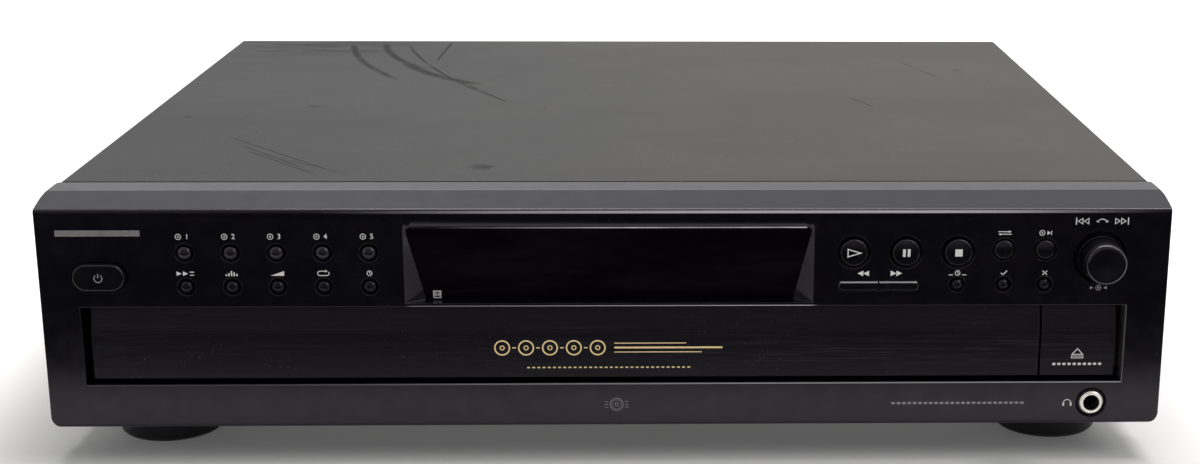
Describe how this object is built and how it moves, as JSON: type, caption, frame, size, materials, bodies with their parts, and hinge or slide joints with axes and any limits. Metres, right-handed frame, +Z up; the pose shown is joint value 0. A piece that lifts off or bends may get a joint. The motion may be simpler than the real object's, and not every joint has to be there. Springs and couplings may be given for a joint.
{
  "type": "multi disc cd changer",
  "caption": "Full width hi-fi disc changer with a sliding tray that carries a turning carousel, a jog knob, push keys and a window for the display.",
  "frame": {"origin": "on the surface it stands on, below the middle of the whole object's box", "axes": "+X to the right seen from the front, +Y to the back, +Z up"},
  "size_m": [0.43, 0.4, 0.106],
  "materials": {
    "panel_plastic": "satin black moulding",
    "cover_paint": "satin textured paint",
    "back_paint": "satin black paint",
    "zinc_sheet": "zinc plated sheet",
    "foot_plastic": "matt moulding",
    "screw_steel": "black zinc",
    "smoked_window": "smoked and polished",
    "jack_metal": "bright nickel",
    "circuit_board": "green solder mask",
    "switch_plastic": "moulded",
    "tube_glass": "dark display glass",
    "core_steel": "lacquered laminations",
    "gland_rubber": "moulded",
    "frame_plastic": "moulded",
    "motor_can": "plated can",
    "belt_rubber": "moulded",
    "gear_plastic": "natural moulding",
    "tray_plastic": "fine textured moulding",
    "door_plastic": "satin moulding",
    "rod_steel": "ground",
    "pickup_metal": "die cast",
    "knob_plastic": "polished",
    "key_plastic": "satin moulding"
  },
  "bodies": {
    "case": {"chassis_pan": "zinc_sheet", "top_cover": "cover_paint", "back_panel": "back_paint", "feet": "foot_plastic", "case_screws": "screw_steel", "front_panel": "panel_plastic", "display_window": "smoked_window", "phones_jack": "jack_metal", "control_board": "circuit_board", "front_switches": "switch_plastic", "display_tube": "tube_glass", "main_board": "circuit_board", "power_transformer": "core_steel", "output_jacks": "jack_metal", "cord_gland": "gland_rubber", "mech_frame": "frame_plastic", "clamp_bridge": "zinc_sheet", "loading_motor": "motor_can", "loading_belt": "belt_rubber"},
    "tray": {"tray": "tray_plastic", "tray_door": "door_plastic", "table_motor": "motor_can", "table_belt": "belt_rubber"},
    "carousel": {"carousel": "tray_plastic", "carousel_cap": "door_plastic"},
    "table_gear": {"table_gear": "gear_plastic"},
    "drive_gear": {"drive_gear": "gear_plastic"},
    "loading_pulley": {"loading_pulley": "gear_plastic"},
    "base_unit": {"base_unit": "frame_plastic", "guide_rods": "rod_steel", "unit_motors": "motor_can"},
    "pickup": {"optical_pickup": "pickup_metal"},
    "sled_gear": {"sled_gear": "gear_plastic"},
    "platter": {"disc_platter": "frame_plastic"},
    "clamp_puck": {"clamp_puck": "frame_plastic"},
    "lift_slider": {"lift_slider": "gear_plastic"},
    "jog_shaft": {"jog_shaft": "rod_steel"},
    "jog_knob": {"jog_knob": "knob_plastic"},
    "disc_button_1": {"disc_button_1": "key_plastic"},
    "disc_button_2": {"disc_button_2": "key_plastic"},
    "disc_button_3": {"disc_button_3": "key_plastic"},
    "disc_button_4": {"disc_button_4": "key_plastic"},
    "disc_button_5": {"disc_button_5": "key_plastic"},
    "play_mode_button": {"play_mode_button": "key_plastic"},
    "peak_search_button": {"peak_search_button": "key_plastic"},
    "fader_button": {"fader_button": "key_plastic"},
    "repeat_button": {"repeat_button": "key_plastic"},
    "time_button": {"time_button": "key_plastic"},
    "play_button": {"play_button": "key_plastic"},
    "pause_button": {"pause_button": "key_plastic"},
    "stop_button": {"stop_button": "key_plastic"},
    "exchange_button": {"exchange_button": "key_plastic"},
    "disc_skip_button": {"disc_skip_button": "key_plastic"},
    "time_edit_button": {"time_edit_button": "key_plastic"},
    "check_button": {"check_button": "key_plastic"},
    "clear_button": {"clear_button": "key_plastic"},
    "rewind_button": {"rewind_button": "key_plastic"},
    "forward_button": {"forward_button": "key_plastic"},
    "power_button": {"power_button": "key_plastic"},
    "open_close_button": {"open_close_button": "door_plastic"}
  },
  "joints": [
    {"name": "tray_slide", "type": "slide", "parent": "case", "child": "tray", "axis": [0, -1, 0], "range_m": [0, 0.24]},
    {"name": "carousel_spin", "type": "hinge", "parent": "tray", "child": "carousel", "pos_m": [-0.015, -0.008, 0.048], "axis": [0, 0, 1], "continuous": true},
    {"name": "table_gear_spin", "type": "hinge", "parent": "tray", "child": "table_gear", "pos_m": [-0.05045, 0.02745, 0.045], "axis": [0, 0, 1], "continuous": true},
    {"name": "drive_gear_spin", "type": "hinge", "parent": "case", "child": "drive_gear", "pos_m": [0.11585, -0.12, 0.03], "axis": [0, 0, 1], "range_deg": [-930, 10]},
    {"name": "loading_pulley_spin", "type": "hinge", "parent": "case", "child": "loading_pulley", "pos_m": [0.14294, -0.10274, 0.024], "axis": [0, 0, 1], "range_deg": [-30, 3320]},
    {"name": "unit_lift", "type": "hinge", "parent": "case", "child": "base_unit", "pos_m": [-0.01, 0.176, 0.044], "axis": [-1, 0, 0], "range_deg": [0, 9.5]},
    {"name": "sled_slide", "type": "slide", "parent": "base_unit", "child": "pickup", "axis": [0, 0.9863, 0.165], "range_m": [0, 0.035]},
    {"name": "sled_gear_spin", "type": "hinge", "parent": "base_unit", "child": "sled_gear", "pos_m": [0.0165, 0.14411, 0.04069], "axis": [0, -0.165, 0.9863], "range_deg": [-340, 5]},
    {"name": "platter_spin", "type": "hinge", "parent": "base_unit", "child": "platter", "pos_m": [-0.015, 0.09825, 0.03302], "axis": [0, -0.165, 0.9863], "continuous": true},
    {"name": "clamp_spin", "type": "hinge", "parent": "case", "child": "clamp_puck", "pos_m": [-0.015, 0.0975, 0.062], "axis": [0, 0, 1], "continuous": true},
    {"name": "lift_slider_slide", "type": "slide", "parent": "case", "child": "lift_slider", "axis": [1, 0, 0], "range_m": [-0.0002, 0.0242]},
    {"name": "jog_push", "type": "slide", "parent": "case", "child": "jog_shaft", "axis": [0, 1, 0], "range_m": [0, 0.0008], "stiffness_N_per_m": 600},
    {"name": "jog_turn", "type": "hinge", "parent": "jog_shaft", "child": "jog_knob", "pos_m": [0.1884, -0.195, 0.0824], "axis": [0, 1, 0], "continuous": true},
    {"name": "disc_press_1", "type": "slide", "parent": "case", "child": "disc_button_1", "axis": [0, 1, 0], "range_m": [0, 0.0008], "stiffness_N_per_m": 300},
    {"name": "disc_press_2", "type": "slide", "parent": "case", "child": "disc_button_2", "axis": [0, 1, 0], "range_m": [0, 0.0008], "stiffness_N_per_m": 300},
    {"name": "disc_press_3", "type": "slide", "parent": "case", "child": "disc_button_3", "axis": [0, 1, 0], "range_m": [0, 0.0008], "stiffness_N_per_m": 300},
    {"name": "disc_press_4", "type": "slide", "parent": "case", "child": "disc_button_4", "axis": [0, 1, 0], "range_m": [0, 0.0008], "stiffness_N_per_m": 300},
    {"name": "disc_press_5", "type": "slide", "parent": "case", "child": "disc_button_5", "axis": [0, 1, 0], "range_m": [0, 0.0008], "stiffness_N_per_m": 300},
    {"name": "play_mode_press", "type": "slide", "parent": "case", "child": "play_mode_button", "axis": [0, 1, 0], "range_m": [0, 0.0008], "stiffness_N_per_m": 300},
    {"name": "peak_search_press", "type": "slide", "parent": "case", "child": "peak_search_button", "axis": [0, 1, 0], "range_m": [0, 0.0008], "stiffness_N_per_m": 300},
    {"name": "fader_press", "type": "slide", "parent": "case", "child": "fader_button", "axis": [0, 1, 0], "range_m": [0, 0.0008], "stiffness_N_per_m": 300},
    {"name": "repeat_press", "type": "slide", "parent": "case", "child": "repeat_button", "axis": [0, 1, 0], "range_m": [0, 0.0008], "stiffness_N_per_m": 300},
    {"name": "time_press", "type": "slide", "parent": "case", "child": "time_button", "axis": [0, 1, 0], "range_m": [0, 0.0008], "stiffness_N_per_m": 300},
    {"name": "play_press", "type": "slide", "parent": "case", "child": "play_button", "axis": [0, 1, 0], "range_m": [0, 0.0008], "stiffness_N_per_m": 300},
    {"name": "pause_press", "type": "slide", "parent": "case", "child": "pause_button", "axis": [0, 1, 0], "range_m": [0, 0.0008], "stiffness_N_per_m": 300},
    {"name": "stop_press", "type": "slide", "parent": "case", "child": "stop_button", "axis": [0, 1, 0], "range_m": [0, 0.0008], "stiffness_N_per_m": 300},
    {"name": "exchange_press", "type": "slide", "parent": "case", "child": "exchange_button", "axis": [0, 1, 0], "range_m": [0, 0.0008], "stiffness_N_per_m": 300},
    {"name": "disc_skip_press", "type": "slide", "parent": "case", "child": "disc_skip_button", "axis": [0, 1, 0], "range_m": [0, 0.0008], "stiffness_N_per_m": 300},
    {"name": "time_edit_press", "type": "slide", "parent": "case", "child": "time_edit_button", "axis": [0, 1, 0], "range_m": [0, 0.0008], "stiffness_N_per_m": 300},
    {"name": "check_press", "type": "slide", "parent": "case", "child": "check_button", "axis": [0, 1, 0], "range_m": [0, 0.0008], "stiffness_N_per_m": 300},
    {"name": "clear_press", "type": "slide", "parent": "case", "child": "clear_button", "axis": [0, 1, 0], "range_m": [0, 0.0008], "stiffness_N_per_m": 300},
    {"name": "rewind_press", "type": "slide", "parent": "case", "child": "rewind_button", "axis": [0, 1, 0], "range_m": [0, 0.0008], "stiffness_N_per_m": 300},
    {"name": "forward_press", "type": "slide", "parent": "case", "child": "forward_button", "axis": [0, 1, 0], "range_m": [0, 0.0008], "stiffness_N_per_m": 300},
    {"name": "power_press", "type": "slide", "parent": "case", "child": "power_button", "axis": [0, 1, 0], "range_m": [0, 0.003], "stiffness_N_per_m": 300},
    {"name": "open_close_press", "type": "slide", "parent": "case", "child": "open_close_button", "axis": [0, 1, 0], "range_m": [0, 0.0012], "stiffness_N_per_m": 400}
  ],
  "couplings": [
    {"joint": "table_gear_spin", "follows": "carousel_spin", "ratio": -4},
    {"joint": "drive_gear_spin", "follows": "tray_slide", "rad_per_m": -66.667},
    {"joint": "loading_pulley_spin", "follows": "tray_slide", "rad_per_m": 238.1},
    {"joint": "sled_gear_spin", "follows": "sled_slide", "rad_per_m": -166.67},
    {"joint": "clamp_spin", "follows": "platter_spin", "ratio": 1},
    {"joint": "lift_slider_slide", "follows": "unit_lift", "m_per_rad": 0.14475}
  ]
}
